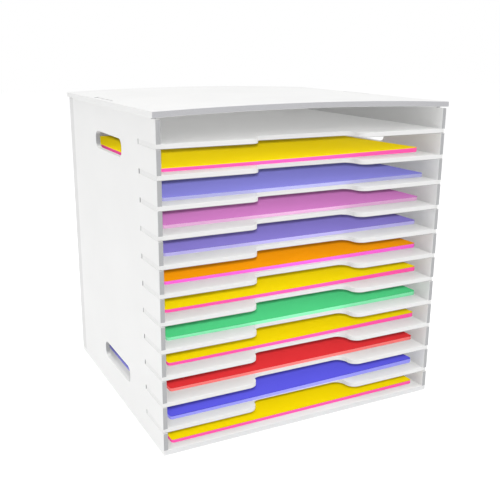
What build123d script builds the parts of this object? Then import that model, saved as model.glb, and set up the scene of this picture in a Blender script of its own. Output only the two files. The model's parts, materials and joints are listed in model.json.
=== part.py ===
from build123d import *
import os

# Paper sorter made of flat panels: a cabinet of five panels and a column of trays that
# slide out to the front. All sizes are in millimetres.
# Frame: origin on the floor at the middle of the base, +Z up, the front faces -Y.

# --- cabinet ---
cabinet_width = 350.0
cabinet_depth = 317.0
base_thickness = 6.0
top_thickness = 6.0
side_thickness = 5.0
back_thickness = 5.0
top_overhang = 3.0
top_bow = 4.0

# --- trays ---
tray_count = 11
tray_pitch = 29.6
tray_thickness = 5.0
lowest_opening = 19.5
highest_opening = 24.5
tray_rear_gap = 4.0
recess_width = 123.0
recess_depth = 22.5
recess_ramp = 24.0

# --- how the trays sit in the side panels ---
groove_depth = 2.0
slot_length = 51.4
ear_length = 49.0
ear_inset = 0.3
tray_clearance = 0.15
# how far each tray is pushed in past the front edges of the side panels, from the top down
tray_push = [1.6, 0.3, 0.3, 1.8, 1.2, 0.8, 1.5, 0.5, 1.0, 0.6, 1.4]

# --- hand holes in the side panels ---
hand_hole_length = 96.0
hand_hole_height = 20.0
hand_hole_radius = 8.5
hand_hole_forward = 2.5
hand_hole_edge = 41.0

# --- joints between the panels ---
joint_clearance = 0.2
tongue_width = 2.5
tongue_height = 3.0
tongue_setback = 14.0
tab_length = 60.0
tab_rear = 16.0
tab_flush_gap = 0.3
shoulder_length = 11.0
shoulder_drop = 1.4

# --- paper ---
sheet_rear_gap = 3.0
sheet_corner = 3.0
stack_height = 3.4
top_sheet_height = 0.6
# how far each stack lies behind the front edges, and from the left and right panel, from the top down
stack_setback = [20.0, 22.0, 29.0, 31.0, 28.0, 25.0, 22.0, 23.0, 23.0, 17.0, 11.0]
stack_left_gap = [7.0, 8.0, 11.0, 12.0, 10.5, 9.5, 10.0, 11.5, 12.5, 9.5, 8.5]
stack_right_gap = [16.0, 3.5, 2.5, 2.5, 3.0, 2.5, 3.0, 2.5, 2.5, 6.0, 8.5]

# --- edges ---
panel_edge = 0.6
tray_edge = 0.5

# --- planes and levels that follow from the sizes above ---
half_width = cabinet_width / 2
half_depth = cabinet_depth / 2
front = -half_depth
inner_half_width = half_width - side_thickness
side_depth = cabinet_depth - back_thickness
side_rear = front + side_depth
tray_span = (tray_count - 1) * tray_pitch + tray_thickness
wall_height = lowest_opening + tray_span + highest_opening
wall_top = base_thickness + wall_height
slot_height = tray_thickness + 2 * tray_clearance
tray_levels = [base_thickness + lowest_opening + i * tray_pitch for i in reversed(range(tray_count))]

os.makedirs("parts", exist_ok=True)


def save(piece, name):
    """Label a finished piece and write it as its own file."""
    piece.label = name
    export_step(piece, f"parts/{name}.step")


# --- base panel: flat sheet with a groove under each side panel and one under the back panel ---
groove_width = tongue_width + 2 * joint_clearance
groove_drop = tongue_height + joint_clearance
tongue_centre = inner_half_width + tongue_width / 2
tongue_length = side_depth - 2 * tongue_setback
tongue_middle = front + side_depth / 2
back_tongue_length = cabinet_width - 2 * side_thickness - 2 * tongue_setback
back_tongue_centre = side_rear + tongue_width / 2

with BuildPart() as base_panel:
    with BuildSketch(Plane.XY):
        Rectangle(cabinet_width, cabinet_depth)
    extrude(amount=base_thickness)
    fillet(base_panel.edges(), panel_edge)
    with BuildSketch(Plane.XY.offset(base_thickness)):
        with Locations((-tongue_centre, tongue_middle), (tongue_centre, tongue_middle)):
            Rectangle(groove_width, tongue_length + 2 * joint_clearance)
        with Locations((0, back_tongue_centre)):
            Rectangle(back_tongue_length + 2 * joint_clearance, groove_width)
    extrude(amount=-groove_drop, mode=Mode.SUBTRACT)
save(base_panel.part, "base_panel")


# --- side panels: the left one is drawn, the right one is its mirror image ---
tab_middle = front + side_depth / 2 + tab_rear
tab_height = top_thickness - tab_flush_gap
hand_hole_middle = front + side_depth / 2 - hand_hole_forward
hand_hole_levels = [base_thickness + hand_hole_edge, wall_top - hand_hole_edge]
wall_middle = base_thickness + wall_height / 2
outer_face = Plane.YZ.offset(-half_width)
inner_face = Plane.YZ.offset(-inner_half_width)
slot_levels = [level + tray_thickness / 2 for level in tray_levels]

with BuildPart() as left_side_panel:
    with BuildSketch(outer_face):
        with Locations((tongue_middle, wall_middle)):
            Rectangle(side_depth, wall_height)
    extrude(amount=side_thickness)
    front_outer_edge = left_side_panel.edges().filter_by(Axis.Z).group_by(Axis.Y)[0]
    fillet(front_outer_edge, panel_edge)
    # shoulders: the ends of the upper edge stop short of the top panel
    with BuildSketch(outer_face):
        for end in (front + shoulder_length / 2, side_rear - shoulder_length / 2):
            with Locations((end, wall_top - shoulder_drop / 2)):
                Rectangle(shoulder_length, shoulder_drop)
    extrude(amount=side_thickness, mode=Mode.SUBTRACT)
    # tab that comes up through the top panel
    with BuildSketch(outer_face):
        with Locations((tab_middle, wall_top + tab_height / 2)):
            Rectangle(tab_length, tab_height)
    extrude(amount=side_thickness)
    # tongue along the lower edge, on the inner half of the thickness
    with BuildSketch(inner_face):
        with Locations((tongue_middle, base_thickness - tongue_height / 2)):
            Rectangle(tongue_length, tongue_height)
    extrude(amount=-tongue_width)
    # grooves that carry the trays along the whole depth
    with BuildSketch(inner_face):
        with Locations(*[(tongue_middle, level) for level in slot_levels]):
            Rectangle(side_depth, slot_height)
    extrude(amount=-groove_depth, mode=Mode.SUBTRACT)
    # slots for the ears, open at the front edge
    with BuildSketch(outer_face):
        with Locations(*[(front + slot_length / 2, level) for level in slot_levels]):
            Rectangle(slot_length, slot_height)
    extrude(amount=side_thickness, mode=Mode.SUBTRACT)
    # hand holes
    with BuildSketch(outer_face):
        with Locations(*[(hand_hole_middle, level) for level in hand_hole_levels]):
            RectangleRounded(hand_hole_length, hand_hole_height, hand_hole_radius)
    extrude(amount=side_thickness, mode=Mode.SUBTRACT)
save(left_side_panel.part, "left_side_panel")

with BuildPart() as right_side_panel:
    mirror(left_side_panel.part, about=Plane.YZ)
save(right_side_panel.part, "right_side_panel")


# --- back panel: stands on the base, covers the rear edges of the side panels ---
with BuildPart() as back_panel:
    with BuildSketch(Plane.XZ.offset(-side_rear)):
        with Locations((0, wall_middle)):
            Rectangle(cabinet_width, wall_height)
    extrude(amount=-back_thickness)
    fillet(back_panel.edges().filter_by(Axis.Z).group_by(Axis.Y)[-1], panel_edge)
    with BuildSketch(Plane.XZ.offset(-side_rear)):
        with Locations((0, base_thickness - tongue_height / 2)):
            Rectangle(back_tongue_length, tongue_height)
    extrude(amount=-tongue_width)
save(back_panel.part, "back_panel")


# --- top panel: a sheet bowed upwards between the side panels ---
top_half_width = half_width + top_overhang
mortise_width = side_thickness + 2 * joint_clearance
mortise_length = tab_length + 2 * joint_clearance
mortise_centre = half_width - side_thickness / 2
top_cut_height = 2 * (top_thickness + top_bow)

with BuildPart() as top_panel:
    with BuildSketch(Plane.XZ.offset(half_depth)):
        with BuildLine():
            lower = ThreePointArc(
                (-top_half_width, wall_top),
                (0, wall_top + top_bow),
                (top_half_width, wall_top),
            )
            upper = ThreePointArc(
                (-top_half_width, wall_top + top_thickness),
                (0, wall_top + top_bow + top_thickness),
                (top_half_width, wall_top + top_thickness),
            )
            Line(lower @ 0, upper @ 0)
            Line(lower @ 1, upper @ 1)
        make_face()
    extrude(amount=-cabinet_depth)
    fillet(top_panel.edges(), panel_edge)
    with BuildSketch(Plane.XY.offset(wall_top - top_bow)):
        with Locations((-mortise_centre, tab_middle), (mortise_centre, tab_middle)):
            Rectangle(mortise_width, mortise_length)
    extrude(amount=top_cut_height, mode=Mode.SUBTRACT)
save(top_panel.part, "top_panel")


# --- trays: a flat sheet with an ear on each side and a finger recess in the front edge ---
tray_width = 2 * (inner_half_width + groove_depth - tray_clearance)
ear_span = 2 * (half_width - ear_inset)
tray_depth = side_depth - tray_rear_gap


def make_tray(level, tray_front):
    """One tray with its underside at level and its front edge at tray_front."""
    ramp_start = (recess_width + recess_ramp) / 2
    ramp_middle = recess_width / 2
    ramp_end = (recess_width - recess_ramp) / 2
    middle_y = tray_front + recess_depth / 2
    recess_y = tray_front + recess_depth
    with BuildPart() as tray:
        with BuildSketch(Plane.XY.offset(level)):
            with Locations((0, tray_front + tray_depth / 2)):
                Rectangle(tray_width, tray_depth)
            with Locations((0, tray_front + ear_length / 2)):
                Rectangle(ear_span, ear_length)
            with BuildLine():
                Line((-ramp_start, tray_front), (ramp_start, tray_front))
                Line((-ramp_end, recess_y), (ramp_end, recess_y))
                for side in (-1, 1):
                    middle = (side * ramp_middle, middle_y)
                    TangentArc((side * ramp_start, tray_front), middle, tangent=(-side, 0))
                    TangentArc((side * ramp_end, recess_y), middle, tangent=(side, 0))
            make_face(mode=Mode.SUBTRACT)
        extrude(amount=tray_thickness)
        front_edges = tray.edges().filter_by(Axis.X).filter_by_position(Axis.Y, front, recess_y + tray_edge)
        fillet(front_edges, tray_edge)
    return tray.part


for number, (level, push) in enumerate(zip(tray_levels, tray_push), start=1):
    save(make_tray(level, front + push), f"tray_{number:02d}")


# --- paper: one stack in each opening below the first tray, the last one on the base ---
sheet_depth = side_depth - max(stack_setback) - sheet_rear_gap
stack_floors = [level + tray_thickness for level in tray_levels[1:]] + [base_thickness]


def make_sheets(bottom, height, sheet_left, sheet_right, sheet_front):
    """A block of sheets that lies on bottom, between sheet_left and sheet_right, behind sheet_front."""
    with BuildPart() as sheets:
        with BuildSketch(Plane.XY.offset(bottom)):
            with Locations(((sheet_left + sheet_right) / 2, sheet_front + sheet_depth / 2)):
                RectangleRounded(sheet_right - sheet_left, sheet_depth, sheet_corner)
        extrude(amount=height)
    return sheets.part


for index, floor in enumerate(stack_floors):
    sheet_front = front + stack_setback[index]
    sheet_left = stack_left_gap[index] - inner_half_width
    sheet_right = inner_half_width - stack_right_gap[index]
    paper = make_sheets(floor, stack_height, sheet_left, sheet_right, sheet_front)
    save(paper, f"paper_{index + 1:02d}")
    top_sheet = make_sheets(floor + stack_height, top_sheet_height, sheet_left, sheet_right, sheet_front)
    save(top_sheet, f"top_sheet_{index + 1:02d}")
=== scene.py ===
import json
import math
import random

import bmesh
import bpy
from mathutils import Matrix, Vector


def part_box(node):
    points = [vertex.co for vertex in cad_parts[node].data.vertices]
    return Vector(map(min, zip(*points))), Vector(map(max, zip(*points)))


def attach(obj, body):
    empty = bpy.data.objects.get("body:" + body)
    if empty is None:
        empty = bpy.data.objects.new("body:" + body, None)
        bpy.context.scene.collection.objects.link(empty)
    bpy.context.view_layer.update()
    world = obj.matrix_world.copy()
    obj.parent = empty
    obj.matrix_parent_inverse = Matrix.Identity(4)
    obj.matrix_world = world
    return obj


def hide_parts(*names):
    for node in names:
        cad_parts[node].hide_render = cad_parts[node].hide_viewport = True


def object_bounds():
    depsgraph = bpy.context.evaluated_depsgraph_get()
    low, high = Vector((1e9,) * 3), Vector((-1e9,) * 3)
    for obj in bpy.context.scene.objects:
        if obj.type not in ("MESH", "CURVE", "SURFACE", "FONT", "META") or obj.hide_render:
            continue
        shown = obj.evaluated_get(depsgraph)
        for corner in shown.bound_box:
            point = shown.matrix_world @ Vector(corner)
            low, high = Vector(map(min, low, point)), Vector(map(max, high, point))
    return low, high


# Looks of a paper sorter: a cabinet of white boards with sliding trays. Stacks of coloured card
# lie on the base and on every tray but the first. Lengths are in metres, in the frame's own axes.

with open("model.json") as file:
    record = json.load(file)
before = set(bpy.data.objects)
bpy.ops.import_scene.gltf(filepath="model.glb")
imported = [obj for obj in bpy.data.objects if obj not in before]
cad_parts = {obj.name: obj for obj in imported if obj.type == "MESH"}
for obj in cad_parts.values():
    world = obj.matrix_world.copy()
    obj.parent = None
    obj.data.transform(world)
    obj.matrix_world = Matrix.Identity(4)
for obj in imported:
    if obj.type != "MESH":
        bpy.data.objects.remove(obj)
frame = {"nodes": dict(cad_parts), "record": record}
cad_low, cad_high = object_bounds()

MM = 0.001

# --- boards: colours of their faces and cut edges ---
FACE_WHITE = (0.84, 0.84, 0.835, 1.0)
BASE_EDGE = (0.84, 0.84, 0.845, 1.0)
# the grey of the top, side and back cut edges: partly the edge's own grey, partly painted shade
TOP_EDGE_GREY_AND_SHADE = (0.53, 0.53, 0.55, 1.0)
SIDE_EDGE_GREY_AND_SHADE = (0.46, 0.465, 0.475, 1.0)
BACK_EDGE_GREY_AND_SHADE = (0.76, 0.76, 0.76, 1.0)
# how much of the colour is left in the darker places: random clouds and speckles, and the painted
# shade on the trays' lower front edges and along the side panels' rear edges
CLOUD_TONE = 0.975
SPECKLE_TONE = 0.9
LOWER_EDGE_SHADE_TONE = 0.3
REAR_SHADE_BAND_TONE = 0.85
# painted shade in a band along the rear edges of the side panels: where it starts, and its blur
REAR_SHADE_BAND_START = cad_high.y - 17.0 * MM
REAR_SHADE_BAND_BLUR = 0.3 * MM
# how far a normal turns from the faces to a cut edge, and to a tray's lower front edge, which
# takes painted shade
EDGE_NORMAL = (0.5, 0.9)
LOWER_EDGE_SHADE_NORMAL = (-1.05, -1.2)
# surface of the boards: noises, what is used of their values, and what they do
FACE_CLOUD = {"scale": 7, "detail": 3}
GLOSS_CLOUD = {"scale": 30, "detail": 4}
ORANGE_PEEL = {"scale": 420, "detail": 2}
EDGE_SPECKLE = {"scale": 1400, "detail": 2}
CLOUD_RANGE = (0.35, 0.65)
GRAIN_RANGE = (0.3, 0.7)
FACE_ROUGHNESS = (0.36, 0.46)
EDGE_EXTRA_ROUGHNESS = 0.22
PEEL_BUMP = {"strength": 0.12, "distance": 0.02 * MM}
SPECKLE_BUMP = {"strength": 0.15, "distance": 0.05 * MM}

# --- card: colours of the stacks from the top one down, top sheets and the sheets below them ---
STACK_COLOURS = [
    ("yellow", "pink"),
    ("periwinkle", "pale_periwinkle"),
    ("orchid", "pale_orchid"),
    ("violet", "lavender"),
    ("orange", "magenta"),
    ("yellow", "pink"),
    ("green", "pale_green"),
    ("yellow", "pink"),
    ("red", "salmon"),
    ("blue", "pale_blue"),
    ("yellow", "pink"),
]
# colours as seen on a screen, red, green and blue out of 255
CARD_COLOURS = {
    "yellow": (240, 212, 0),
    "pink": (255, 90, 170),
    "periwinkle": (134, 132, 214),
    "pale_periwinkle": (166, 166, 212),
    "orchid": (208, 126, 196),
    "pale_orchid": (216, 166, 204),
    "violet": (135, 123, 205),
    "lavender": (180, 173, 228),
    "orange": (240, 150, 0),
    "magenta": (250, 104, 214),
    "green": (80, 205, 131),
    "pale_green": (134, 228, 174),
    "red": (222, 50, 54),
    "salmon": (250, 122, 120),
    "blue": (92, 89, 222),
    "pale_blue": (152, 152, 242),
}
# surface of the card
CARD_FIBRES = {"scale": 900, "detail": 5, "roughness": 0.65}
FIBRE_RANGE = (0.3, 0.6)
FIBRE_TONE = 0.95
DEEP_SHEET_TONE = 0.92
TOP_SHEET_EDGE_TONE = 0.4
CARD_ROUGHNESS = (0.72, 0.88)
CARD_SPECULAR = 0.04
FIBRE_BUMP = {"strength": 0.2, "distance": 0.02 * MM}

# --- sheets ---
SHEET_THICKNESS = 0.23 * MM
SHEET_CORNER = 3.0 * MM
# places along a round corner, as shares of its radius
BEND_SHARES = (0.0, 0.08, 0.3, 0.62)
# the most that a sheet takes of the height it has in its pile
SHEET_FILL = 0.86
SLIP_X = 0.3 * MM
SLIP_Y = 0.4 * MM
SHEET_TONES = (0.35, 1.0)
SHEETS_BELOW = 12
SHEETS_ON_TOP = 2
# strips of a sheet across its width and along its depth
STEPS_BELOW = (16, 10)
STEPS_ON_TOP = (32, 20)
# how high the right front corner of each stack has risen, in millimetres, from the top one down
CORNER_RISE = [3.4, 1.5, 1.5, 1.5, 2.8, 3.8, 2.8, 3.6, 1.6, 3.8, 1.4]
RISE_REACH = 200 * MM
# how quickly the rise grows to the right and to the front, and its share at a stack's bottom
RISE_POWER_ACROSS = 1.6
RISE_POWER_FORWARD = 1.5
BOTTOM_RISE_SHARE = 0.45

# --- floor ---
FLOOR_REACH = 6.0
FLOOR_STRIPS = 24
FLOOR_CLOUD = {"scale": 3, "detail": 3}
FLOOR_PALE = (0.95, 0.95, 0.95, 1.0)
FLOOR_PALER = (0.97, 0.97, 0.97, 1.0)
FLOOR_ROUGHNESS = 0.9

# --- light: how wide the sky is that a fill shines from ---
FILL_ANGLE = math.radians(30)

# --- the photograph's camera: where it stands and how it is turned ---
CAMERA_PLACE = Vector((-0.4129, -0.8077, 0.4161))
CAMERA_YAW = math.radians(27.486)
CAMERA_PITCH = math.radians(15.529)
CAMERA_ROLL = math.radians(0.457)
FOCAL_PIXELS = 734.9
FRAME_PIXELS = 500
SENSOR_WIDTH = 36.0


# ---------------------------------------------------------------- materials


def screen_colour(red, green, blue):
    """A screen colour out of 255 as the linear colour with alpha that a shader takes."""
    linear = []
    for value in (red, green, blue):
        share = value / 255
        linear.append(share / 12.92 if share <= 0.04045 else ((share + 0.055) / 1.055) ** 2.4)
    return (*linear, 1.0)


def toned(colour, tone):
    """A colour with tone of its brightness left."""
    return tuple(tone * value for value in colour[:3]) + (1.0,)


def start_material(name):
    """A new node material: itself, its tree and its main shader."""
    material = bpy.data.materials.new(name)
    material.use_nodes = True
    tree = material.node_tree
    return material, tree, tree.nodes["Principled BSDF"]


def add_noise(tree, scale, detail, roughness=0.5):
    """A noise texture on the object's own coordinates."""
    place = tree.nodes.new("ShaderNodeTexCoord")
    noise = tree.nodes.new("ShaderNodeTexNoise")
    noise.inputs["Scale"].default_value = scale
    noise.inputs["Detail"].default_value = detail
    noise.inputs["Roughness"].default_value = roughness
    tree.links.new(place.outputs["Object"], noise.inputs["Vector"])
    return noise.outputs["Fac"]


def add_range(tree, value, given, wanted=(0.0, 1.0)):
    """value remapped from the range given to the range wanted, and held at its ends."""
    node = tree.nodes.new("ShaderNodeMapRange")
    node.inputs["From Min"].default_value, node.inputs["From Max"].default_value = given
    node.inputs["To Min"].default_value, node.inputs["To Max"].default_value = wanted
    tree.links.new(value, node.inputs["Value"])
    return node.outputs["Result"]


def add_mix(tree, share, first, second):
    """A colour between first and second. Each may be a socket or a fixed colour."""
    node = tree.nodes.new("ShaderNodeMix")
    node.data_type = "RGBA"
    tree.links.new(share, node.inputs["Factor"])
    for value, name in ((first, "A"), (second, "B")):
        socket = next(s for s in node.inputs if s.name == name and s.type == "RGBA")
        if isinstance(value, tuple):
            socket.default_value = value
        else:
            tree.links.new(value, socket)
    return next(s for s in node.outputs if s.type == "RGBA")


def add_bump(tree, height, strength, distance, normal=None):
    """A bump, on top of another normal if one is given."""
    node = tree.nodes.new("ShaderNodeBump")
    node.inputs["Strength"].default_value = strength
    node.inputs["Distance"].default_value = distance
    tree.links.new(height, node.inputs["Height"])
    if normal is not None:
        tree.links.new(normal, node.inputs["Normal"])
    return node.outputs["Normal"]


def add_part(tree, source, axis):
    """One axis of the object's own "Normal" or "Object" coordinates."""
    place = tree.nodes.new("ShaderNodeTexCoord")
    parts = tree.nodes.new("ShaderNodeSeparateXYZ")
    tree.links.new(place.outputs[source], parts.inputs["Vector"])
    return parts.outputs[axis]


def add_edge_share(tree, edge_axis):
    """1 on the cut edges that look along edge_axis, and 0 on all other faces."""
    size = tree.nodes.new("ShaderNodeMath")
    size.operation = "ABSOLUTE"
    tree.links.new(add_part(tree, "Normal", edge_axis), size.inputs[0])
    return add_range(tree, size.outputs["Value"], EDGE_NORMAL)


def add_lower_edge_shade_share(tree):
    """1 on the round lower front edge of a tray, which takes painted shade: there the normal
    looks to the front and down.
    """
    total = tree.nodes.new("ShaderNodeMath")
    total.operation = "ADD"
    tree.links.new(add_part(tree, "Normal", "Y"), total.inputs[0])
    tree.links.new(add_part(tree, "Normal", "Z"), total.inputs[1])
    return add_range(tree, total.outputs["Value"], LOWER_EDGE_SHADE_NORMAL)


def add_rear_shade_band_share(tree):
    """1 on a band along the rear edge of a side panel, which takes painted shade."""
    start = (REAR_SHADE_BAND_START - REAR_SHADE_BAND_BLUR, REAR_SHADE_BAND_START + REAR_SHADE_BAND_BLUR)
    return add_range(tree, add_part(tree, "Object", "Y"), start)


def board_material(name, edge_axis, face, edge, add_painted_shade=None, tone_left=1.0):
    """White coated board: a faint orange peel on its faces, a drier grain on its cut edges.

    The argument before tone_left gives the share of a painted shade that leaves tone_left of the
    face colour."""
    material, tree, shader = start_material(name)
    on_edge = add_edge_share(tree, edge_axis)
    cloud = add_range(tree, add_noise(tree, **FACE_CLOUD), CLOUD_RANGE)
    face_colour = add_mix(tree, cloud, toned(face, CLOUD_TONE), face)
    # painted shade on the faces, where the shade function gives it
    if add_painted_shade:
        face_colour = add_mix(tree, add_painted_shade(tree), face_colour, toned(face, tone_left))
    speckle = add_noise(tree, **EDGE_SPECKLE)
    pale_speckle = add_range(tree, speckle, GRAIN_RANGE)
    # the cut edge colour holds painted shade on the top, side and back boards
    edge_colour = add_mix(tree, pale_speckle, toned(edge, SPECKLE_TONE), edge)
    board_colour = add_mix(tree, on_edge, face_colour, edge_colour)
    tree.links.new(board_colour, shader.inputs["Base Color"])
    gloss = add_range(tree, add_noise(tree, **GLOSS_CLOUD), GRAIN_RANGE, FACE_ROUGHNESS)
    rough = tree.nodes.new("ShaderNodeMath")
    rough.operation = "MULTIPLY_ADD"
    tree.links.new(on_edge, rough.inputs[0])
    rough.inputs[1].default_value = EDGE_EXTRA_ROUGHNESS
    tree.links.new(gloss, rough.inputs[2])
    tree.links.new(rough.outputs["Value"], shader.inputs["Roughness"])
    peel = add_bump(tree, add_noise(tree, **ORANGE_PEEL), **PEEL_BUMP)
    grain = add_bump(tree, speckle, normal=peel, **SPECKLE_BUMP)
    tree.links.new(grain, shader.inputs["Normal"])
    return material


def card_material(name, colour, edge_tone):
    """Coloured card: dull, with short fibres, and each sheet a shade apart from the next.

    Its cut edges keep edge_tone of the colour."""
    material, tree, shader = start_material(name)
    tone = tree.nodes.new("ShaderNodeAttribute")
    tone.attribute_name = "sheet_tone"
    fibres = add_noise(tree, **CARD_FIBRES)
    pale_fibres = add_range(tree, fibres, FIBRE_RANGE)
    fibre_colour = add_mix(tree, pale_fibres, toned(colour, FIBRE_TONE), colour)
    deep_colour = toned(colour, DEEP_SHEET_TONE)
    sheet_colour = add_mix(tree, tone.outputs["Fac"], deep_colour, fibre_colour)
    on_edge = add_edge_share(tree, "Y")
    card_colour = add_mix(tree, on_edge, sheet_colour, toned(colour, edge_tone))
    tree.links.new(card_colour, shader.inputs["Base Color"])
    rough = add_range(tree, fibres, GRAIN_RANGE, CARD_ROUGHNESS)
    tree.links.new(rough, shader.inputs["Roughness"])
    shader.inputs["Specular IOR Level"].default_value = CARD_SPECULAR
    tree.links.new(add_bump(tree, fibres, **FIBRE_BUMP), shader.inputs["Normal"])
    return material


def dress_boards():
    """Gives every CAD board its material."""
    top_board = board_material("top_board", "Y", FACE_WHITE, TOP_EDGE_GREY_AND_SHADE)
    flat_board = board_material("flat_board", "Y", FACE_WHITE, BASE_EDGE)
    # the trays' lower front edges get a painted shade: a dark line in place of the shadow beneath
    # them
    tray_board = board_material(
        "tray_board", "X", FACE_WHITE, FACE_WHITE, add_lower_edge_shade_share, LOWER_EDGE_SHADE_TONE
    )
    # the side panels get a painted shade along their rear edges
    side_board = board_material(
        "side_board", "Y", FACE_WHITE, SIDE_EDGE_GREY_AND_SHADE, add_rear_shade_band_share, REAR_SHADE_BAND_TONE
    )
    back_board = board_material("back_board", "X", FACE_WHITE, BACK_EDGE_GREY_AND_SHADE)
    boards = {
        "base_panel": flat_board,
        "top_panel": top_board,
        "left_side_panel": side_board,
        "right_side_panel": side_board,
        "back_panel": back_board,
    }
    for name in frame["nodes"]:
        if name.startswith("tray_"):
            boards[name] = tray_board
    for name, material in boards.items():
        mesh = frame["nodes"][name].data
        mesh.materials.clear()
        mesh.materials.append(material)


# ---------------------------------------------------------------- paper


def stations(length, corner, steps):
    """Places along a sheet's side, closer together where the corners are round."""
    bend = [corner * share for share in BEND_SHARES]
    straight = [corner + (length - 2 * corner) * i / steps for i in range(steps + 1)]
    return bend + straight + [length - b for b in reversed(bend)]


def corner_pull(along, length, corner):
    """How far the outline pulls in at a place along the side, because of the round corner."""
    into = corner - min(along, length - along)
    if into <= 0:
        return 0.0
    return corner - math.sqrt(max(corner * corner - into * into, 0.0))


def add_sheet(bm, tone_layer, low, high, level, thickness, steps, tone, lift):
    """One sheet between the corners low and high, (x, y) each, lifted by lift(x, y)."""
    width = high[0] - low[0]
    depth = high[1] - low[1]
    rows = []
    for along in stations(depth, SHEET_CORNER, steps[1]):
        pull = corner_pull(along, depth, SHEET_CORNER)
        row = []
        for i in range(steps[0] + 1):
            x = low[0] + pull + (width - 2 * pull) * i / steps[0]
            y = low[1] + along
            z = level + lift(x, y)
            row.append((bm.verts.new((x, y, z)), bm.verts.new((x, y, z + thickness))))
        rows.append(row)
    faces = []
    for near, far in zip(rows, rows[1:]):
        for i in range(steps[0]):
            faces.append(bm.faces.new((near[i][1], near[i + 1][1], far[i + 1][1], far[i][1])))
            faces.append(bm.faces.new((near[i][0], far[i][0], far[i + 1][0], near[i + 1][0])))
    right_side = [row[-1] for row in rows[1:]]
    left_side = [row[0] for row in rows[-2::-1]]
    rim = rows[0] + right_side + rows[-1][-2::-1] + left_side
    for first, second in zip(rim, rim[1:]):
        faces.append(bm.faces.new((first[0], second[0], second[1], first[1])))
    for face in faces:
        face.smooth = False
        for loop in face.loops:
            loop[tone_layer] = (tone, tone, tone, 1.0)


def corner_rise(node, rise, share):
    """How a sheet rises towards its right front corner, at share of the way up its stack."""
    low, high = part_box(node)
    sheet_rise = rise * (BOTTOM_RISE_SHARE + (1 - BOTTOM_RISE_SHARE) * share)

    def lift(x, y):
        across = max(0.0, (x - low.x) / (high.x - low.x)) ** RISE_POWER_ACROSS
        forward = max(0.0, 1 - max(0.0, y - low.y) / RISE_REACH) ** RISE_POWER_FORWARD
        return sheet_rise * across * forward

    return lift


def stack_piece(name, node, body, material, count, steps, number, shares):
    """A pile of count sheets that fills the space of a CAD block of paper.

    number is that of its stack, from the top one down. shares are where the pile starts and
    ends on the way up that stack."""
    chance = random.Random(number)
    low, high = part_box(node)
    pitch = (high.z - low.z) / count
    thickness = min(SHEET_THICKNESS, SHEET_FILL * pitch)
    rise = CORNER_RISE[number - 1] * MM
    bm = bmesh.new()
    tone_layer = bm.loops.layers.color.new("sheet_tone")
    for sheet in range(count):
        slip = Vector((chance.uniform(-SLIP_X, SLIP_X), chance.uniform(-SLIP_Y, SLIP_Y)))
        tone = chance.uniform(*SHEET_TONES)
        level = low.z + sheet * pitch
        corner_low = (low.x + slip.x, low.y + slip.y)
        corner_high = (high.x + slip.x, high.y + slip.y)
        share = shares[0] + (shares[1] - shares[0]) * (sheet + 1) / count
        lift = corner_rise(node, rise, share)
        add_sheet(bm, tone_layer, corner_low, corner_high, level, thickness, steps, tone, lift)
    mesh = bpy.data.meshes.new(name)
    bm.normal_update()
    bm.to_mesh(mesh)
    bm.free()
    mesh.materials.append(material)
    piece = bpy.data.objects.new(name, mesh)
    bpy.context.scene.collection.objects.link(piece)
    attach(piece, body)
    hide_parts(node)
    # the boards take their soft light from the white trays and not from the colour of the card
    piece.visible_diffuse = False
    return piece


# collections for light linking, and each cover's own collection with its CAD node
STACK_PIECES = bpy.data.collections.new("stack_pieces")
FLOOR_PIECES = bpy.data.collections.new("floor_pieces")
ALL_BUT_COVERS = bpy.data.collections.new("all_but_covers")
COVER_ROWS = []


def make_paper():
    """Both colours of every stack: the sheets below, and the cover of top sheets on them."""
    on_top = {top for top, below in STACK_COLOURS}
    materials = {}
    for name, rgb in CARD_COLOURS.items():
        edge_tone = TOP_SHEET_EDGE_TONE if name in on_top else 1.0
        materials[name] = card_material(f"card_{name}", screen_colour(*rgb), edge_tone)
    bodies = frame["record"]["behaviour"]["bodies"]
    body_of_node = {node: body for body, nodes in bodies.items() for node in nodes}
    below_share = SHEETS_BELOW / (SHEETS_BELOW + SHEETS_ON_TOP)
    for number, (top, below) in enumerate(STACK_COLOURS, start=1):
        node = f"paper_{number:02d}"
        top_node = f"top_sheet_{number:02d}"
        stack = stack_piece(
            f"stack_{number:02d}",
            node,
            body_of_node[node],
            materials[below],
            SHEETS_BELOW,
            STEPS_BELOW,
            number,
            shares=(0.0, below_share),
        )
        cover = stack_piece(
            f"cover_{number:02d}",
            top_node,
            body_of_node[top_node],
            materials[top],
            SHEETS_ON_TOP,
            STEPS_ON_TOP,
            number,
            shares=(below_share, 1.0),
        )
        STACK_PIECES.objects.link(stack)
        # a lamp that is linked to this collection lights everything but the covers
        ALL_BUT_COVERS.objects.link(cover)
        ALL_BUT_COVERS.collection_objects[-1].light_linking.link_state = "EXCLUDE"
        row = bpy.data.collections.new(cover.name)
        row.objects.link(cover)
        COVER_ROWS.append((row, top_node))


# ---------------------------------------------------------------- floor, light and camera


def make_floor():
    """A pale floor, far larger than the object."""
    bm = bmesh.new()
    bmesh.ops.create_grid(bm, x_segments=FLOOR_STRIPS, y_segments=FLOOR_STRIPS, size=FLOOR_REACH)
    mesh = bpy.data.meshes.new("floor")
    bm.to_mesh(mesh)
    bm.free()
    material, tree, shader = start_material("pale_floor")
    pale = add_mix(tree, add_noise(tree, **FLOOR_CLOUD), FLOOR_PALE, FLOOR_PALER)
    tree.links.new(pale, shader.inputs["Base Color"])
    shader.inputs["Roughness"].default_value = FLOOR_ROUGHNESS
    shader.inputs["Specular IOR Level"].default_value = 0.0
    mesh.materials.append(material)
    floor = bpy.data.objects.new("floor", mesh)
    floor.location.z = cad_low.z
    bpy.context.scene.collection.objects.link(floor)
    FLOOR_PIECES.objects.link(floor)


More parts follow.
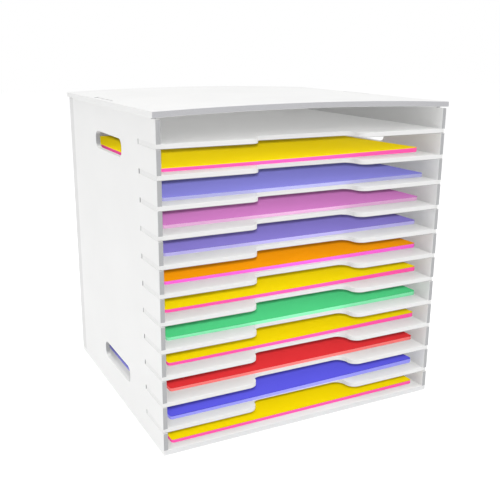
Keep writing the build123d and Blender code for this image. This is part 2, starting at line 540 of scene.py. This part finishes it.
def make_world(strength):
    """An even white surround that lights with strength and shows as plain white."""
    world = bpy.data.worlds.new("white_surround")
    world.use_nodes = True
    tree = world.node_tree
    background = tree.nodes["Background"]
    background.inputs["Color"].default_value = (1.0, 1.0, 1.0, 1.0)
    path = tree.nodes.new("ShaderNodeLightPath")
    seen = add_range(tree, path.outputs["Is Camera Ray"], (0.0, 1.0), (strength, 1.0))
    tree.links.new(seen, background.inputs["Strength"])
    bpy.context.scene.world = world


def add_lamp(name, data, place, target):
    """A lamp at place that looks at target."""
    lamp = bpy.data.objects.new(name, data)
    lamp.location = place
    lamp.rotation_mode = "QUATERNION"
    lamp.rotation_quaternion = (Vector(target) - Vector(place)).to_track_quat("-Z", "Y")
    bpy.context.scene.collection.objects.link(lamp)
    return lamp


def softbox(name, place, size, power):
    """A square soft light at place that looks at the middle of the object."""
    data = bpy.data.lights.new(name, "AREA")
    data.shape = "SQUARE"
    data.size = size
    data.energy = power
    return add_lamp(name, data, place, (cad_low + cad_high) / 2)


def fill(name, place, strength):
    """An even light without shadows, as from white walls all round, from the side of place."""
    data = bpy.data.lights.new(name, "SUN")
    data.energy = strength
    data.angle = FILL_ANGLE
    data.use_shadow = False
    return add_lamp(name, data, place, (0, 0, 0))


def light_only(lamp, collection):
    """Makes a lamp light nothing but what the collection links it to."""
    lamp.light_linking.receiver_collection = collection


def above_camera(rise):
    """The place that lies rise above the camera."""
    return CAMERA_PLACE + Vector((0.0, 0.0, rise))


def light_covers(rise_share, size_share, strength):
    """A small light above the camera for each cover, without falloff, so all are as bright.

    It lies above the camera by rise_share of the camera's height over the cover, so that every
    tray throws as narrow a shadow on the cover below it. Its size is size_share of that rise."""
    for row, node in COVER_ROWS:
        low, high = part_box(node)
        front_middle = Vector(((low.x + high.x) / 2, low.y, high.z))
        rise = rise_share * (CAMERA_PLACE.z - high.z)
        place = above_camera(rise)
        facing = (place - front_middle).normalized().z
        lamp = softbox(f"light_of_{row.name}", place, size_share * rise, strength / facing)
        lamp.data.use_nodes = True
        tree = lamp.data.node_tree
        falloff = tree.nodes.new("ShaderNodeLightFalloff")
        falloff.inputs["Strength"].default_value = 1.0
        tree.links.new(falloff.outputs["Constant"], tree.nodes["Emission"].inputs["Strength"])
        light_only(lamp, row)


def make_lights():
    """Soft white light from all sides, and lamps for the card and the floor alone."""
    make_world(strength=0.66)
    for lamp in (
        softbox("top_softbox", place=(-0.3, -0.4, 2.2), size=2.0, power=15.0),
        softbox("front_softbox", place=(-0.6, -2.4, 1.0), size=2.0, power=1.5),
        softbox("left_softbox", place=(-2.6, -0.3, 1.0), size=2.0, power=1.5),
        fill("top_fill", place=(0, 0, 1), strength=0.85),
        fill("left_fill", place=(-1, -0.25, 0.15), strength=0.03),
    ):
        light_only(lamp, ALL_BUT_COVERS)
    stack_lamp = softbox("stack_lamp", place=(0.05, -0.3, 0.55), size=0.3, power=0.36)
    stack_lamp.data.use_shadow = False
    light_only(stack_lamp, STACK_PIECES)
    stack_softbox = softbox("stack_softbox", place=above_camera(0.06), size=0.06, power=4.0)
    light_only(stack_softbox, STACK_PIECES)
    light_covers(rise_share=0.165, size_share=0.9, strength=5.7)
    light_only(fill("floor_fill", place=(0, 0, 1), strength=0.4), FLOOR_PIECES)


def make_camera():
    """The camera at the photograph's place and angle."""
    forward = Vector(
        (
            math.sin(CAMERA_YAW) * math.cos(CAMERA_PITCH),
            math.cos(CAMERA_YAW) * math.cos(CAMERA_PITCH),
            -math.sin(CAMERA_PITCH),
        )
    )
    right = Vector((math.cos(CAMERA_YAW), -math.sin(CAMERA_YAW), 0.0))
    up = right.cross(forward)
    rolled_right = right * math.cos(CAMERA_ROLL) + up * math.sin(CAMERA_ROLL)
    rolled_up = up * math.cos(CAMERA_ROLL) - right * math.sin(CAMERA_ROLL)
    turn = Matrix((rolled_right, rolled_up, -forward)).transposed().to_4x4()
    data = bpy.data.cameras.new("camera")
    data.sensor_width = SENSOR_WIDTH
    data.lens = FOCAL_PIXELS * SENSOR_WIDTH / FRAME_PIXELS
    data.clip_start = 0.01
    data.clip_end = 50.0
    camera = bpy.data.objects.new("camera", data)
    camera.matrix_world = Matrix.Translation(CAMERA_PLACE) @ turn
    bpy.context.scene.collection.objects.link(camera)
    bpy.context.scene.camera = camera


dress_boards()
make_paper()
make_floor()
make_lights()
make_camera()
bpy.context.scene.view_settings.view_transform = "Standard"
